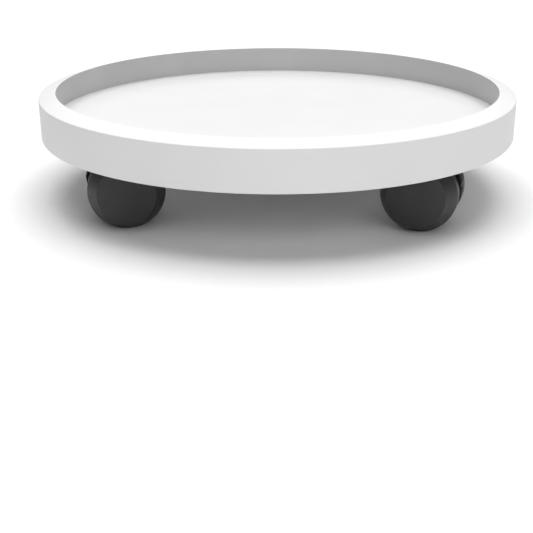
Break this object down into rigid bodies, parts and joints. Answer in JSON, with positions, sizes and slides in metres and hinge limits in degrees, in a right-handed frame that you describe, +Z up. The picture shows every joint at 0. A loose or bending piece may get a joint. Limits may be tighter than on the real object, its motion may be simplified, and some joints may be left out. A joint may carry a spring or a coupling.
{
  "type": "plant pot caddy",
  "caption": "Low round caddy for a plant pot: a shallow tray with a raised rim, on swivelling twin-wheel casters.",
  "frame": {"origin": "on the floor under the centre of the tray", "axes": "+Z up out of the tray, -Y to the front, +X to the right; the casters lie on the diagonals"},
  "size_m": [0.333, 0.333, 0.0755],
  "materials": {
    "tray_plastic": "satin white moulding",
    "wheel_plastic": "smooth dark grey moulding",
    "body_plastic": "black moulding",
    "steel": "turned and zinc plated",
    "spring_steel": "dark spring steel"
  },
  "bodies": {
    "root": {"tray": "tray_plastic", "stem_front_left": "steel", "grip_ring_front_left": "spring_steel", "stem_front_right": "steel", "grip_ring_front_right": "spring_steel", "stem_rear_right": "steel", "grip_ring_rear_right": "spring_steel", "stem_rear_left": "steel", "grip_ring_rear_left": "spring_steel"},
    "swivel_front_left": {"caster_body_front_left": "body_plastic", "axle_front_left": "steel"},
    "wheel_a_front_left": {"wheel_a_front_left": "wheel_plastic"},
    "wheel_b_front_left": {"wheel_b_front_left": "wheel_plastic"},
    "swivel_front_right": {"caster_body_front_right": "body_plastic", "axle_front_right": "steel"},
    "wheel_a_front_right": {"wheel_a_front_right": "wheel_plastic"},
    "wheel_b_front_right": {"wheel_b_front_right": "wheel_plastic"},
    "swivel_rear_right": {"caster_body_rear_right": "body_plastic", "axle_rear_right": "steel"},
    "wheel_a_rear_right": {"wheel_a_rear_right": "wheel_plastic"},
    "wheel_b_rear_right": {"wheel_b_rear_right": "wheel_plastic"},
    "swivel_rear_left": {"caster_body_rear_left": "body_plastic", "axle_rear_left": "steel"},
    "wheel_a_rear_left": {"wheel_a_rear_left": "wheel_plastic"},
    "wheel_b_rear_left": {"wheel_b_rear_left": "wheel_plastic"}
  },
  "joints": [
    {"name": "swivel_front_left", "type": "hinge", "parent": "root", "child": "swivel_front_left", "pos_m": [-0.07927, -0.07927, 0.0412], "axis": [0, 0, 1], "continuous": true},
    {"name": "wheel_a_front_left_spin", "type": "hinge", "parent": "swivel_front_left", "child": "wheel_a_front_left", "pos_m": [-0.09699, -0.08239, 0.025], "axis": [0.1736, -0.9848, 0], "continuous": true},
    {"name": "wheel_b_front_left_spin", "type": "hinge", "parent": "swivel_front_left", "child": "wheel_b_front_left", "pos_m": [-0.09699, -0.08239, 0.025], "axis": [0.1736, -0.9848, 0], "continuous": true},
    {"name": "swivel_front_right", "type": "hinge", "parent": "root", "child": "swivel_front_right", "pos_m": [0.07927, -0.07927, 0.0412], "axis": [0, 0, 1], "continuous": true},
    {"name": "wheel_a_front_right_spin", "type": "hinge", "parent": "swivel_front_right", "child": "wheel_a_front_right", "pos_m": [0.09648, -0.08453, 0.025], "axis": [0.2924, 0.9563, 0], "continuous": true},
    {"name": "wheel_b_front_right_spin", "type": "hinge", "parent": "swivel_front_right", "child": "wheel_b_front_right", "pos_m": [0.09648, -0.08453, 0.025], "axis": [0.2924, 0.9563, 0], "continuous": true},
    {"name": "swivel_rear_right", "type": "hinge", "parent": "root", "child": "swivel_rear_right", "pos_m": [0.07927, 0.07927, 0.0412], "axis": [0, 0, 1], "continuous": true},
    {"name": "wheel_a_rear_right_spin", "type": "hinge", "parent": "swivel_rear_right", "child": "wheel_a_rear_right", "pos_m": [0.09516, 0.08772, 0.025], "axis": [-0.4695, 0.8829, 0], "continuous": true},
    {"name": "wheel_b_rear_right_spin", "type": "hinge", "parent": "swivel_rear_right", "child": "wheel_b_rear_right", "pos_m": [0.09516, 0.08772, 0.025], "axis": [-0.4695, 0.8829, 0], "continuous": true},
    {"name": "swivel_rear_left", "type": "hinge", "parent": "root", "child": "swivel_rear_left", "pos_m": [-0.07927, 0.07927, 0.0412], "axis": [0, 0, 1], "continuous": true},
    {"name": "wheel_a_rear_left_spin", "type": "hinge", "parent": "swivel_rear_left", "child": "wheel_a_rear_left", "pos_m": [-0.09501, 0.08799, 0.025], "axis": [-0.4848, -0.8746, 0], "continuous": true},
    {"name": "wheel_b_rear_left_spin", "type": "hinge", "parent": "swivel_rear_left", "child": "wheel_b_rear_left", "pos_m": [-0.09501, 0.08799, 0.025], "axis": [-0.4848, -0.8746, 0], "continuous": true}
  ]
}
